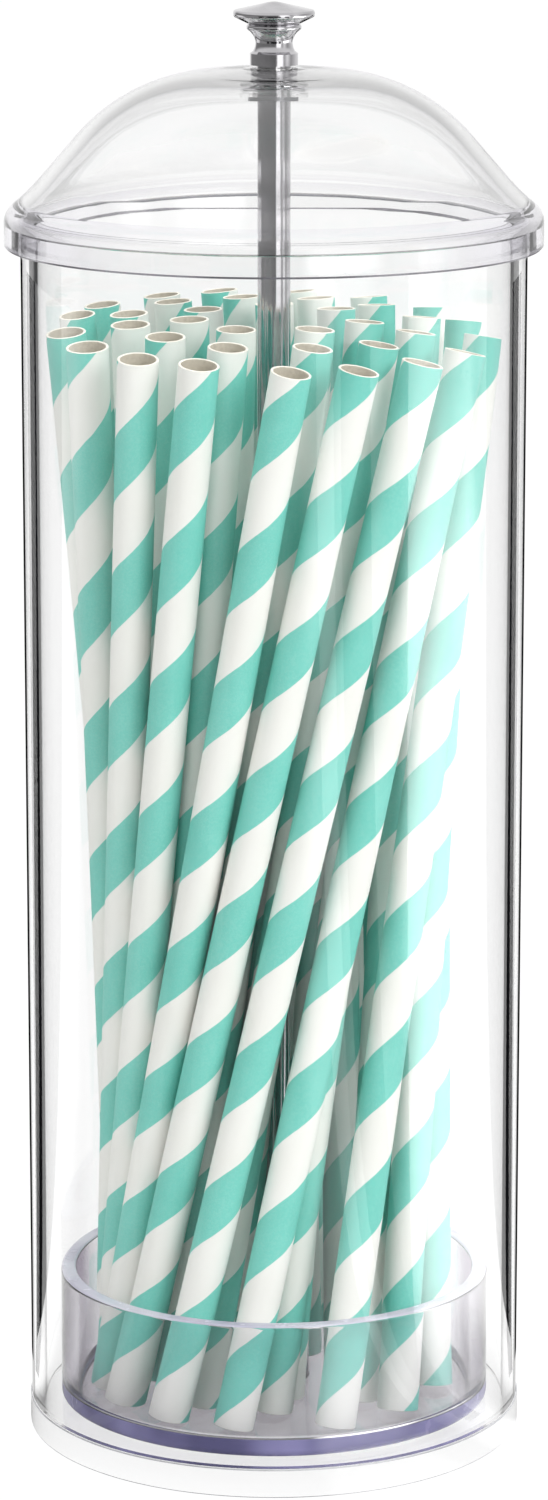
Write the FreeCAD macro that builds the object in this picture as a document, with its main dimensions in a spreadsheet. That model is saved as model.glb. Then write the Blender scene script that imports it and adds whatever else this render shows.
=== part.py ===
import FreeCAD, Part

import enum
import math
import os
import random

import Sketcher

# A counter-top jar for drinking straws. A clear tube stands on a clear disc. A domed lid, a turned
# knob, a rod and a cup hang together as one insert: pulling the knob lifts the straws out of the jar.
# Everything is in millimetres, +Z is up, and the origin is the middle of the disc's underside.

SIZES = {
    # the jar
    "jar_radius": 45.0,
    "jar_wall": 2.5,
    "base_thickness": 5.3,
    "base_overhang": 0.25,
    "base_chamfer": 0.2,
    # gaps between the jar and the insert, and between the lid and the rod that turns in it
    "rest_gap": 0.3,
    "lid_side_gap": 0.45,
    "running_gap": 0.05,
    # the lid: a crown, a rounded shoulder, a straight flank that flares to the rim, and a skirt
    "lid_wall": 2.4,
    "crown_radius": 110.0,
    "shoulder_radius": 33.5,
    "flank_run": 6.8,
    "flank_angle": 49.0,
    "flare_radius": 34.0,
    "flare_angle": 38.0,
    "rim_round": 3.5,
    "rim_band": 0.4,
    "skirt_wall": 2.45,
    "skirt_depth": 4.0,
    "skirt_chamfer": 0.4,
    "ledge_width": 0.9,
    "boss_radius": 5.5,
    "boss_height": 3.3,
    # the rod and what holds the lid on it
    "rod_radius": 2.95,
    "rod_chamfer": 0.3,
    "groove_depth": 0.55,
    "clip_radius": 4.6,
    "clip_thickness": 0.8,
    "clip_slot": 3.4,
    "lid_washer_radius": 6.0,
    "lid_washer_thickness": 1.0,
    "spigot_radius": 2.0,
    "spigot_length": 6.3,
    "thread_gap": 0.05,
    # the turned knob, from its foot up
    "knob_foot_radius": 4.26,
    "knob_foot_height": 2.0,
    "knob_step": 0.55,
    "knob_step_height": 0.4,
    "knob_neck_height": 3.65,
    "knob_neck_curve": 2.7,
    "knob_bead_radius": 4.5,
    "knob_bead_height": 1.1,
    "knob_bead_round": 0.6,
    "knob_cap_radius": 6.95,
    "knob_cap_underside": 1.2,
    "knob_cap_edge": 1.2,
    "knob_cap_edge_round": 0.8,
    "knob_cap_rise": 1.35,
    "knob_tip_radius": 1.2,
    "knob_tip_round": 5.0,
    # the cup at the foot of the rod
    "cup_side_gap": 3.15,
    "cup_height": 24.7,
    "cup_wall": 2.8,
    "cup_floor": 2.5,
    "cup_foot_round": 1.6,
    "cup_rim_round": 0.6,
    "cup_inner_round": 1.2,
    "hub_radius": 6.5,
    "hub_height": 6.0,
    "clamp_thickness": 2.0,
    "recess_radius": 5.0,
    "recess_depth": 2.1,
    # the screw and washer that hold the cup on the rod
    "screw_radius": 2.0,
    "screw_reach": 8.0,
    "screw_head_radius": 3.5,
    "screw_head_height": 1.4,
    "screw_head_round": 0.5,
    "cup_washer_radius": 4.6,
    "cup_washer_thickness": 0.5,
    # the straws, which stand twisted in rings round the rod
    "straw_radius": 3.5,
    "straw_wall": 0.45,
    "straw_length": 197.0,
    "straw_headroom": 19.7,
    "straw_gap": 0.2,
    "straw_unevenness": 1.3,
    "foot_margin": 2.55,
    "tip_margin": 1.0,
    "hub_margin": 2.0,
    "rod_margin": 9.55,
    "straw_twist": 58.0,
    "twist_swing": 26.0,
    "twist_step": 4.0,
}

doc = FreeCAD.newDocument("StrawDispenser")
sheet = doc.addObject("Spreadsheet::Sheet", "Sizes")
for row, (alias, number) in enumerate(SIZES.items(), start=1):
    sheet.set(f"A{row}", alias)
    sheet.set(f"B{row}", str(number))
    sheet.setAlias(f"B{row}", alias)
doc.recompute()

# Places and sizes that follow from the driving ones, as expressions on the sheet.
JAR_BORE = "(Sizes.jar_radius - Sizes.jar_wall)"
TUBE_LENGTH = "(Sizes.straw_length + Sizes.straw_headroom)"
TUBE_TOP = f"(Sizes.base_thickness + {TUBE_LENGTH})"
LID_SEAT = f"({TUBE_TOP} + Sizes.rest_gap)"
SKIRT_BORE = "(Sizes.jar_radius + Sizes.lid_side_gap)"
LID_RADIUS = f"({SKIRT_BORE} + Sizes.skirt_wall)"
ROD_BORE = "(Sizes.rod_radius + Sizes.running_gap)"

CUP_BOTTOM = "(Sizes.base_thickness + Sizes.rest_gap)"
CUP_RADIUS = f"({JAR_BORE} - Sizes.cup_side_gap)"
CUP_BORE = f"({CUP_RADIUS} - Sizes.cup_wall)"
SOCKET_FLOOR = "(Sizes.recess_depth + Sizes.clamp_thickness)"
HUB_TOP = "(Sizes.cup_floor + Sizes.hub_height)"
ROD_BOTTOM = f"({CUP_BOTTOM} + {SOCKET_FLOOR})"
SCREW_HOLE = "(Sizes.screw_radius + Sizes.thread_gap)"

# The lid's section, measured from its seat on the tube. The flank touches the shoulder at
# SHOULDER and the flare at FLANK_END, and the crown touches the shoulder at CROWN_END.
FLANK = "Sizes.flank_angle"
FLARE = "Sizes.flare_angle"
FLARE_END_X = f"({LID_RADIUS} - Sizes.rim_round * (1 - sin({FLARE})))"
FLARE_END_Z = f"(Sizes.rim_band + Sizes.rim_round * cos({FLARE}))"
FLANK_END_X = f"({FLARE_END_X} + Sizes.flare_radius * (sin({FLARE}) - sin({FLANK})))"
FLANK_END_Z = f"({FLARE_END_Z} + Sizes.flare_radius * (cos({FLARE}) - cos({FLANK})))"
SHOULDER_X = f"({FLANK_END_X} - Sizes.flank_run)"
SHOULDER_Z = f"({FLANK_END_Z} + Sizes.flank_run * tan({FLANK}))"
CROWN = (
    f"asin(({SHOULDER_X} - Sizes.shoulder_radius * sin({FLANK}))"
    " / (Sizes.crown_radius - Sizes.shoulder_radius))"
)
CROWN_END_X = f"(Sizes.crown_radius * sin({CROWN}))"
CROWN_END_Z = f"({SHOULDER_Z} + Sizes.shoulder_radius * (cos({CROWN}) - cos({FLANK})))"
CROWN_CENTRE = f"({CROWN_END_Z} - Sizes.crown_radius * cos({CROWN}))"
LID_RISE = f"({CROWN_CENTRE} + Sizes.crown_radius)"
INNER_CROWN = "(Sizes.crown_radius - Sizes.lid_wall)"
INNER_SHOULDER = "(Sizes.shoulder_radius - Sizes.lid_wall)"
INNER_SHOULDER_X = f"({SHOULDER_X} - Sizes.lid_wall * sin({FLANK}))"
INNER_SHOULDER_Z = f"({SHOULDER_Z} - Sizes.lid_wall * cos({FLANK}))"
INNER_FLARE = "(Sizes.flare_radius + Sizes.lid_wall)"
INNER_FLANK_END_X = f"({FLANK_END_X} - Sizes.lid_wall * sin({FLANK}))"
INNER_FLANK_END_Z = f"({FLANK_END_Z} - Sizes.lid_wall * cos({FLANK}))"
FLARE_CENTRE_X = f"({FLANK_END_X} + Sizes.flare_radius * sin({FLANK}))"
FLARE_CENTRE_Z = f"({FLANK_END_Z} + Sizes.flare_radius * cos({FLANK}))"
LEDGE_RADIUS = f"({SKIRT_BORE} - Sizes.ledge_width)"
LEDGE_TOP = f"({FLARE_CENTRE_Z} - sqrt({INNER_FLARE}^2 - ({FLARE_CENTRE_X} - {LEDGE_RADIUS})^2))"
BOSS_BOTTOM = f"({LID_RISE} - Sizes.boss_height)"

LID_TOP = f"({LID_SEAT} + {LID_RISE})"
KNOB_BOTTOM = f"({LID_TOP} + Sizes.rest_gap)"
LID_WASHER_BOTTOM = (
    f"({LID_SEAT} + {BOSS_BOTTOM} - Sizes.rest_gap - Sizes.lid_washer_thickness)"
)
CLIP_BOTTOM = f"({LID_WASHER_BOTTOM} - Sizes.clip_thickness)"
GROOVE_RADIUS = "(Sizes.rod_radius - Sizes.groove_depth)"
SPIGOT_BORE = "(Sizes.spigot_radius + Sizes.thread_gap)"

ON_AXIS = 1e-6
CUT_MARGIN = 1.0

# How the straws are laid out, from the outer ring inwards, and settled.
RING_COUNTS = (17, 12, 7)
STRAW_SEED = 11
FIRST_TIP_ANGLE = -86.0
MOST_TWIST_ANGLE = -60.0
MOST_SWEEPS = 600
SETTLED = 0.01


class Fixed(enum.IntEnum):
    """The numbers that the sketcher gives its own origin and axes."""

    ORIGIN = -1
    X_AXIS = -1
    Z_AXIS = -2


def value(expression):
    """The number that an expression on the sheet stands for."""
    number = sheet.evalExpression(expression)
    return float(getattr(number, "Value", number))


def origin_plane(body, role):
    """One of a body's own origin planes."""
    return next(item for item in body.Origin.OriginFeatures if item.Role == role)


def new_body(label, height):
    """A body with a label, placed at a height that follows the sheet."""
    body = doc.addObject("PartDesign::Body", label)
    body.Label = label
    body.setExpression("Placement.Base.z", height)
    return body


def new_sketch(body, name, role):
    """A sketch on one of a body's own origin planes."""
    sketch = body.newObject("Sketcher::SketchObject", name)
    sketch.AttachmentSupport = (origin_plane(body, role), "")
    sketch.MapMode = "FlatFace"
    return sketch


def add_size(sketch, constraint, expression):
    """Add a dimension to a sketch and tie it to the sheet."""
    index = sketch.addConstraint(constraint)
    name = f"size{index}"
    sketch.renameConstraint(index, name)
    sketch.setExpression(f"Constraints.{name}", expression)


def arc_between(start, end, radius):
    """A circular edge, and which of its ends is the start. A positive radius turns left."""
    chord = end - start
    left = FreeCAD.Vector(-chord.y, chord.x, 0).normalize()
    depth = math.sqrt(radius**2 - (chord.Length / 2) ** 2)
    centre = (start + end) * 0.5 + left * math.copysign(depth, radius)
    first, last = (start, end) if radius > 0 else (end, start)
    first_angle = math.atan2(first.y - centre.y, first.x - centre.x)
    last_angle = math.atan2(last.y - centre.y, last.x - centre.x)
    if last_angle < first_angle:
        last_angle += 2 * math.pi
    circle = Part.Circle(centre, FreeCAD.Vector(0, 0, 1), abs(radius))
    return Part.ArcOfCircle(circle, first_angle, last_angle), (1 if radius > 0 else 2)


def pin_corner(sketch, edge, end, corner, point):
    """Hold the end of an edge at its corner's distances from the sketch's origin."""
    across = ("DistanceX", point.x, corner[0], Fixed.Z_AXIS)
    upward = ("DistanceY", point.y, corner[1], Fixed.X_AXIS)
    for kind, distance, expression, axis in (across, upward):
        if abs(distance) < ON_AXIS:
            sketch.addConstraint(Sketcher.Constraint("PointOnObject", edge, end, axis))
        else:
            pin = Sketcher.Constraint(kind, Fixed.ORIGIN, 1, edge, end, distance)
            add_size(sketch, pin, expression)


def draw_outline(sketch, corners):
    """Draw a closed outline. A corner is (x, z), or (x, z, radius of the edge that leaves it)."""
    points = [FreeCAD.Vector(value(corner[0]), value(corner[1]), 0) for corner in corners]
    starts = []
    for edge, corner in enumerate(corners):
        start = points[edge]
        end = points[(edge + 1) % len(points)]
        if len(corner) == 2:
            sketch.addGeometry(Part.LineSegment(start, end), False)
            starts.append(1)
        else:
            arc, start_end = arc_between(start, end, value(corner[2]))
            sketch.addGeometry(arc, False)
            starts.append(start_end)
            radius = Sketcher.Constraint("Radius", edge, abs(value(corner[2])))
            add_size(sketch, radius, f"abs({corner[2]})")
    for edge, corner in enumerate(corners):
        before = (edge - 1) % len(corners)
        before_end = 3 - starts[before]
        sketch.addConstraint(
            Sketcher.Constraint("Coincident", before, before_end, edge, starts[edge])
        )
        pin_corner(sketch, edge, starts[edge], corner, points[edge])


def turned(label, height, corners):
    """A body turned about Z from half of its section."""
    body = new_body(label, height)
    sketch = new_sketch(body, f"{label}_section", "XZ_Plane")
    draw_outline(sketch, corners)
    turn = body.newObject("PartDesign::Revolution", f"{label}_turn")
    turn.Profile = sketch
    turn.ReferenceAxis = (sketch, ["V_Axis"])
    turn.Angle = 360
    sketch.Visibility = False
    return body


def ring(label, height, outer, inner, thickness):
    """A flat ring or a length of tube, padded up from two circles."""
    body = new_body(label, height)
    sketch = new_sketch(body, f"{label}_circles", "XY_Plane")
    for edge, expression in enumerate((outer, inner)):
        radius = value(expression)
        circle = Part.Circle(FreeCAD.Vector(0, 0, 0), FreeCAD.Vector(0, 0, 1), radius)
        sketch.addGeometry(circle, False)
        sketch.addConstraint(Sketcher.Constraint("Coincident", edge, 3, Fixed.ORIGIN, 1))
        add_size(sketch, Sketcher.Constraint("Radius", edge, radius), expression)
    pad = body.newObject("PartDesign::Pad", f"{label}_pad")
    pad.Profile = sketch
    pad.setExpression("Length", thickness)
    sketch.Visibility = False
    return body


def jar_base():
    """The clear disc that the jar stands on, a hair wider than the tube cemented to it."""
    radius = "(Sizes.jar_radius + Sizes.base_overhang)"
    edge = "Sizes.base_chamfer"
    return turned("jar_base", "0", [
        ("0", "0"),
        (f"{radius} - {edge}", "0"),
        (radius, edge),
        (radius, f"Sizes.base_thickness - {edge}"),
        (f"{radius} - {edge}", "Sizes.base_thickness"),
        ("0", "Sizes.base_thickness"),
    ])


def jar_tube():
    """The clear tube, cut square at both ends."""
    return ring("jar_tube", "Sizes.base_thickness", "Sizes.jar_radius", JAR_BORE, TUBE_LENGTH)


def lid_dome():
    """The domed lid: it sits on the tube's end by a ledge, and its skirt goes over the tube."""
    skirt = "Sizes.skirt_depth"
    edge = "Sizes.skirt_chamfer"
    boss = "Sizes.boss_radius"
    bore_top = f"({CROWN_CENTRE} + sqrt(Sizes.crown_radius^2 - {ROD_BORE}^2))"
    boss_root = f"({CROWN_CENTRE} + sqrt({INNER_CROWN}^2 - {boss}^2))"
    return turned("lid_dome", LID_SEAT, [
        (ROD_BORE, bore_top, "-Sizes.crown_radius"),
        (CROWN_END_X, CROWN_END_Z, "-Sizes.shoulder_radius"),
        (SHOULDER_X, SHOULDER_Z),
        (FLANK_END_X, FLANK_END_Z, "Sizes.flare_radius"),
        (FLARE_END_X, FLARE_END_Z, "-Sizes.rim_round"),
        (LID_RADIUS, "Sizes.rim_band"),
        (LID_RADIUS, f"{edge} - {skirt}"),
        (f"{LID_RADIUS} - {edge}", f"-{skirt}"),
        (SKIRT_BORE, f"-{skirt}"),
        (SKIRT_BORE, "0"),
        (LEDGE_RADIUS, "0"),
        (LEDGE_RADIUS, LEDGE_TOP, f"-{INNER_FLARE}"),
        (INNER_FLANK_END_X, INNER_FLANK_END_Z),
        (INNER_SHOULDER_X, INNER_SHOULDER_Z, INNER_SHOULDER),
        (f"{INNER_CROWN} * sin({CROWN})", f"{CROWN_CENTRE} + {INNER_CROWN} * cos({CROWN})",
         INNER_CROWN),
        (boss, boss_root),
        (boss, BOSS_BOTTOM),
        (ROD_BORE, BOSS_BOTTOM),
    ])


def knob():
    """The turned knob: a foot, a waisted neck, a bead and a shallow cone cap, bored for the rod."""
    foot = "Sizes.knob_foot_radius"
    bead = "Sizes.knob_bead_radius"
    cap = "Sizes.knob_cap_radius"
    neck_bottom = "(Sizes.knob_foot_height + Sizes.knob_step_height)"
    bead_bottom = f"({neck_bottom} + Sizes.knob_neck_height)"
    bead_top = f"({bead_bottom} + Sizes.knob_bead_height)"
    cap_bottom = f"({bead_top} + Sizes.knob_cap_underside)"
    cap_top = f"({cap_bottom} + Sizes.knob_cap_edge)"
    tip_foot = f"({cap_top} + Sizes.knob_cap_rise)"
    tip_sag = "(Sizes.knob_tip_round - sqrt(Sizes.knob_tip_round^2 - Sizes.knob_tip_radius^2))"
    bore_depth = "(Sizes.spigot_length + Sizes.thread_gap)"
    return turned("knob", KNOB_BOTTOM, [
        (SPIGOT_BORE, "0"),
        (foot, "0"),
        (foot, "Sizes.knob_foot_height"),
        (f"{foot} - Sizes.knob_step", neck_bottom, "-Sizes.knob_neck_curve"),
        (bead, bead_bottom, "Sizes.knob_bead_round"),
        (bead, bead_top),
        (cap, cap_bottom, "Sizes.knob_cap_edge_round"),
        (cap, cap_top),
        ("Sizes.knob_tip_radius", tip_foot, "Sizes.knob_tip_round"),
        ("0", f"{tip_foot} + {tip_sag}"),
        ("0", bore_depth),
        (SPIGOT_BORE, bore_depth),
    ])


def lift_rod():
    """The rod: bored for the cup's screw, grooved for the clip, and stepped to fit the knob."""
    rod = "Sizes.rod_radius"
    edge = "Sizes.rod_chamfer"
    groove_bottom = f"({CLIP_BOTTOM} - {ROD_BOTTOM})"
    groove_top = f"({LID_WASHER_BOTTOM} - {ROD_BOTTOM})"
    shoulder = f"({KNOB_BOTTOM} - {ROD_BOTTOM})"
    top = f"({shoulder} + Sizes.spigot_length)"
    bore_depth = "(Sizes.screw_reach + Sizes.clamp_thickness)"
    return turned("lift_rod", ROD_BOTTOM, [
        (SCREW_HOLE, "0"),
        (f"{rod} - {edge}", "0"),
        (rod, edge),
        (rod, groove_bottom),
        (GROOVE_RADIUS, groove_bottom),
        (GROOVE_RADIUS, groove_top),
        (rod, groove_top),
        (rod, shoulder),
        ("Sizes.spigot_radius", shoulder),
        ("Sizes.spigot_radius", f"{top} - {edge}"),
        (f"Sizes.spigot_radius - {edge}", top),
        ("0", top),
        ("0", bore_depth),
        (SCREW_HOLE, bore_depth),
    ])


def lid_washer():
    """The washer that lifts the lid by its boss."""
    return ring("lid_washer", LID_WASHER_BOTTOM, "Sizes.lid_washer_radius", ROD_BORE,
                "Sizes.lid_washer_thickness")


def cylinder(name, radius, height):
    """A cylinder whose sizes follow the sheet."""
    solid = doc.addObject("Part::Cylinder", name)
    solid.setExpression("Radius", radius)
    solid.setExpression("Height", height)
    return solid


def cut(name, base, tool):
    """One solid cut from another."""
    result = doc.addObject("Part::Cut", name)
    result.Base = base
    result.Tool = tool
    return result


def rod_clip():
    """The spring clip that snaps into the rod's groove under the washer, open at one side."""
    disc = cylinder("rod_clip_disc", "Sizes.clip_radius", "Sizes.clip_thickness")
    eye = cylinder("rod_clip_eye", GROOVE_RADIUS, "Sizes.clip_thickness")
    mouth = doc.addObject("Part::Box", "rod_clip_mouth")
    mouth.setExpression("Length", "Sizes.clip_radius")
    mouth.setExpression("Width", "Sizes.clip_slot")
    mouth.setExpression("Height", "Sizes.clip_thickness")
    mouth.setExpression("Placement.Base.y", "-Sizes.clip_slot / 2")
    clip = cut("rod_clip", cut("rod_clip_ring", disc, eye), mouth)
    clip.Label = "rod_clip"
    clip.setExpression("Placement.Base.z", CLIP_BOTTOM)
    return clip


def straw_cup():
    """The cup that carries the straws: a hub takes the rod, and a recess below takes the screw."""
    foot_round = "Sizes.cup_foot_round"
    rim_round = "Sizes.cup_rim_round"
    inner_round = "Sizes.cup_inner_round"
    height = "Sizes.cup_height"
    return turned("straw_cup", CUP_BOTTOM, [
        (SCREW_HOLE, "Sizes.recess_depth"),
        ("Sizes.recess_radius", "Sizes.recess_depth"),
        ("Sizes.recess_radius", "0"),
        (f"{CUP_RADIUS} - {foot_round}", "0", foot_round),
        (CUP_RADIUS, foot_round),
        (CUP_RADIUS, f"{height} - {rim_round}", rim_round),
        (f"{CUP_RADIUS} - {rim_round}", height),
        (f"{CUP_BORE} + {rim_round}", height, rim_round),
        (CUP_BORE, f"{height} - {rim_round}"),
        (CUP_BORE, f"Sizes.cup_floor + {inner_round}", f"-{inner_round}"),
        (f"{CUP_BORE} - {inner_round}", "Sizes.cup_floor"),
        ("Sizes.hub_radius", "Sizes.cup_floor"),
        ("Sizes.hub_radius", HUB_TOP),
        (ROD_BORE, HUB_TOP),
        (ROD_BORE, SOCKET_FLOOR),
        (SCREW_HOLE, SOCKET_FLOOR),
    ])


def cup_washer():
    """The washer between the screw's head and the cup."""
    height = f"({CUP_BOTTOM} + Sizes.recess_depth - Sizes.cup_washer_thickness)"
    return ring("cup_washer", height, "Sizes.cup_washer_radius", SCREW_HOLE,
                "Sizes.cup_washer_thickness")


def cup_screw():
    """The screw that draws the cup against the rod's end."""
    head = "Sizes.screw_head_radius"
    edge = "Sizes.screw_head_round"
    head_height = "Sizes.screw_head_height"
    bottom = (
        f"({CUP_BOTTOM} + Sizes.recess_depth - Sizes.cup_washer_thickness"
        f" - {head_height})"
    )
    top = (
        f"({head_height} + Sizes.cup_washer_thickness + Sizes.clamp_thickness"
        " + Sizes.screw_reach)"
    )
    return turned("cup_screw", bottom, [
        ("0", "0"),
        (f"{head} - {edge}", "0", edge),
        (head, edge),
        (head, head_height),
        ("Sizes.screw_radius", head_height),
        ("Sizes.screw_radius", top),
        ("0", top),
    ])


def lay_out_straws():
    """Rings of leaning straws, each a foot and a tip on the heights of its two ends."""
    luck = random.Random(STRAW_SEED)
    radius = sheet.straw_radius
    outer_foot = value(CUP_BORE) - radius - sheet.foot_margin
    outer_tip = value(JAR_BORE) - radius - sheet.tip_margin
    inner_foot = sheet.hub_radius + radius + sheet.hub_margin
    inner_tip = sheet.rod_radius + radius + sheet.rod_margin
    first = math.radians(FIRST_TIP_ANGLE)
    straws = []
    for ring_index, count in enumerate(RING_COUNTS):
        inward = ring_index / (len(RING_COUNTS) - 1)
        foot = outer_foot + (inner_foot - outer_foot) * inward
        tip = outer_tip + (inner_tip - outer_tip) * inward
        for index in range(count):
            angle = first + 2 * math.pi * index / count
            swing = math.cos(angle - math.radians(MOST_TWIST_ANGLE)) * sheet.twist_swing
            twist = math.radians(sheet.straw_twist + swing - sheet.twist_step * ring_index)
            ends = []
            for distance, turn in ((foot, angle - twist), (tip, angle)):
                across = luck.uniform(-1, 1) * sheet.straw_unevenness
                outward = luck.uniform(-1, 1) * sheet.straw_unevenness
                turn += across / distance
                reached = distance + outward
                ends.append([reached * math.cos(turn), reached * math.sin(turn)])
            straws.append(ends)
        first += math.pi / count
    return straws


def axis_of(straw):
    """A straw's foot and the vector to its tip."""
    (foot_x, foot_y), (tip_x, tip_y) = straw
    start = FreeCAD.Vector(foot_x, foot_y, 0)
    return start, FreeCAD.Vector(tip_x, tip_y, sheet.straw_length) - start


def closest(first, second):
    """How far along two axes they come closest, and the vector from the second to the first."""
    start, along = axis_of(first)
    other, beside = axis_of(second)
    offset = start - other
    steep = along.dot(along)
    mixed = along.dot(beside)
    other_steep = beside.dot(beside)
    spread = steep * other_steep - mixed * mixed
    share = 0.5
    if spread > 0:
        share = (mixed * beside.dot(offset) - other_steep * along.dot(offset)) / spread
    share = min(max(share, 0.0), 1.0)
    other_share = (mixed * share + beside.dot(offset)) / other_steep
    other_share = min(max(other_share, 0.0), 1.0)
    share = (mixed * other_share - along.dot(offset)) / steep
    share = min(max(share, 0.0), 1.0)
    return share, other_share, offset + along * share - beside * other_share


def push(straw, share, shift):
    """Move a straw sideways at one place along it, mostly by its nearer end."""
    spread = (1 - share) ** 2 + share**2
    for end, weight in ((straw[0], (1 - share) / spread), (straw[1], share / spread)):
        end[0] += shift.x * weight
        end[1] += shift.y * weight


def hold(end, least, most):
    """Keep the end of a straw between two distances from the rod."""
    distance = math.hypot(*end)
    wanted = min(max(distance, least), most)
    end[0] *= wanted / distance
    end[1] *= wanted / distance


def settle(straws):
    """Push the straws apart until no two of them touch each other, the rod, the hub or a wall."""
    radius = sheet.straw_radius
    apart = 2 * radius + sheet.straw_gap
    beside_rod = sheet.rod_radius + radius + sheet.straw_gap
    beside_hub = sheet.hub_radius + radius + sheet.straw_gap
    foot_reach = value(CUP_BORE) - sheet.cup_inner_round - radius
    tip_reach = value(JAR_BORE) - radius - sheet.tip_margin
    rod = [[0.0, 0.0], [0.0, 0.0]]
    for _ in range(MOST_SWEEPS):
        worst = 0.0
        for index, straw in enumerate(straws):
            share, _, away = closest(straw, rod)
            short = beside_rod - away.Length
            if short > 0:
                push(straw, share, away.normalize() * short)
            for other in straws[:index]:
                share, other_share, away = closest(straw, other)
                short = apart - away.Length
                if short > 0:
                    worst = max(worst, short)
                    step = away.normalize() * (short / 2)
                    push(straw, share, step)
                    push(other, other_share, -step)
            hold(straw[0], beside_hub, foot_reach)
            hold(straw[1], beside_rod, tip_reach)
        if worst < SETTLED:
            break
    return worst


def straw(number, ends):
    """A paper tube that leans along its axis, with its foot on the cup's floor."""
    label = f"straw_{number:02d}"
    outside = cylinder(f"{label}_outside", "Sizes.straw_radius", "Sizes.straw_length")
    bore = cylinder(f"{label}_bore", "Sizes.straw_radius - Sizes.straw_wall",
                    f"Sizes.straw_length + {2 * CUT_MARGIN}")
    bore.Placement.Base.z = -CUT_MARGIN
    tube = cut(label, outside, bore)
    tube.Label = label
    foot, along = axis_of(ends)
    upright = FreeCAD.Vector(0, 0, 1)
    lean = along.getAngle(upright)
    floor = value(f"{CUP_BOTTOM} + Sizes.cup_floor")
    foot.z = floor + sheet.straw_gap / 2 + sheet.straw_radius * math.sin(lean)
    tube.Placement = FreeCAD.Placement(foot, FreeCAD.Rotation(upright, along))
    return tube


def check(parts):
    """Stop if anything in the document failed, or if a piece is not one sound solid."""
    for item in doc.Objects:
        if {"Invalid", "Error"} & set(item.State):
            raise RuntimeError(f"{item.Name} failed: {item.State}")
    for part in parts:
        shape = part.Shape
        if shape.isNull() or not shape.isValid() or len(shape.Solids) != 1:
            raise RuntimeError(f"{part.Label} is not one sound solid")


parts = [
    jar_base(),
    jar_tube(),
    lid_dome(),
    knob(),
    lift_rod(),
    lid_washer(),
    rod_clip(),
    straw_cup(),
    cup_washer(),
    cup_screw(),
]
straws = lay_out_straws()
overlap = settle(straws)
parts += [straw(number, ends) for number, ends in enumerate(straws, start=1)]
doc.recompute()
check(parts)

os.makedirs("parts", exist_ok=True)
for part in parts:
    part.Shape.exportStep(f"parts/{part.Label}.step")
print(f"{len(parts)} pieces, {len(straws)} straws, settled to within {overlap:.3f} mm")
print(f"lid top at {value(LID_TOP):.2f} mm, knob foot at {value(KNOB_BOTTOM):.2f} mm")
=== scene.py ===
import math
import random

import bmesh
import bpy
from mathutils import Matrix, Vector


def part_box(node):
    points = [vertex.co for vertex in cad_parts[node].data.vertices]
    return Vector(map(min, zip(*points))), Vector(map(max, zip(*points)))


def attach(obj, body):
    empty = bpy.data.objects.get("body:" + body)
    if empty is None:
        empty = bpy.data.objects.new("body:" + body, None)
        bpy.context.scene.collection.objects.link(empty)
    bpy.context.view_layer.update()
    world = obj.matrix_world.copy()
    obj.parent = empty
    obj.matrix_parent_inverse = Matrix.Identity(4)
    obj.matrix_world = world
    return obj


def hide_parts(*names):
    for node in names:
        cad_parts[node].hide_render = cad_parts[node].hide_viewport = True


# The looks of a clear straw jar with a domed lid, a chromed pull rod and striped paper straws.
# Everything is in metres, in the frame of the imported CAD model.

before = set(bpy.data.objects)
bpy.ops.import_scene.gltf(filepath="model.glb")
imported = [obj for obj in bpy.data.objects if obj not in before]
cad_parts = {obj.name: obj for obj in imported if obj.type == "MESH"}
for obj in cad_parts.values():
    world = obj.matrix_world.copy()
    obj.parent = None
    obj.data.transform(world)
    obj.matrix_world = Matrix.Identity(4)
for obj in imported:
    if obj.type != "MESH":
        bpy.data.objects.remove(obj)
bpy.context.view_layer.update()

MM = 0.001
WHITE = (1, 1, 1, 1)

# The lid's section, measured from its seat on the tube: the CAD model's, with a chamfer on its ledge.
LID_WALL = 2.4 * MM
CROWN_RADIUS = 110.0 * MM
SHOULDER_RADIUS = 33.5 * MM
FLANK_RUN = 6.8 * MM
FLANK = math.radians(49.0)
FLARE_RADIUS = 34.0 * MM
FLARE = math.radians(38.0)
RIM_ROUND = 3.5 * MM
RIM_BAND = 0.4 * MM
SKIRT_WALL = 2.45 * MM
SKIRT_DEPTH = 4.0 * MM
SKIRT_EDGE = 0.4 * MM
LEDGE_WIDTH = 0.9 * MM
LEDGE_FLAT = 0.15 * MM
BOSS_RADIUS = 5.5 * MM
BOSS_HEIGHT = 3.3 * MM
ROD_BORE = 3.0 * MM

# The walls and roundings of the jar and the cup, how far their painted edge shade reaches, and the hub and
# recess in the cup's floor.
JAR_WALL = 2.5 * MM
CUP_WALL = 2.8 * MM
CUP_FLOOR = 2.5 * MM
CUP_HUB_RADIUS = 6.5 * MM
CUP_HUB_HEIGHT = 6.0 * MM
CUP_CLAMP = 2.0 * MM
CUP_FOOT_ROUND = 1.6 * MM
CUP_LIP_ROUND = 0.6 * MM
CUP_CORNER_ROUND = 1.2 * MM
CUP_RING_DEPTH = 1.8 * MM
CUP_RING_RISE = 1.0 * MM
CUP_RIM_DEPTH = 0.25 * MM
CUP_RECESS_RADIUS = 5.0 * MM
CUP_RECESS_DEPTH = 2.1 * MM
SCREW_HOLE = 2.05 * MM
CEMENT_LINE = 0.04 * MM
SOFT_EDGE = 0.2 * MM
TUBE_LIP = 0.4 * MM

# The straws: a spiral-wound paper tube with a one-start stripe.
STRAW_RADIUS = 3.5 * MM
STRAW_WALL = 0.45 * MM
STRAW_LIP = 0.08 * MM
OUTSIDE, INSIDE, CUT_END = range(3)
STRIPE_PITCH = 25.5 * MM
TEAL_SHARE = 0.478
STRIPE_SOFTNESS = 0.008
STRIPE_WOBBLE = 0.012
PLY_OFFSET = 0.02
PLY_RIDGE = 0.012
STRIPE_SEED = 5

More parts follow.
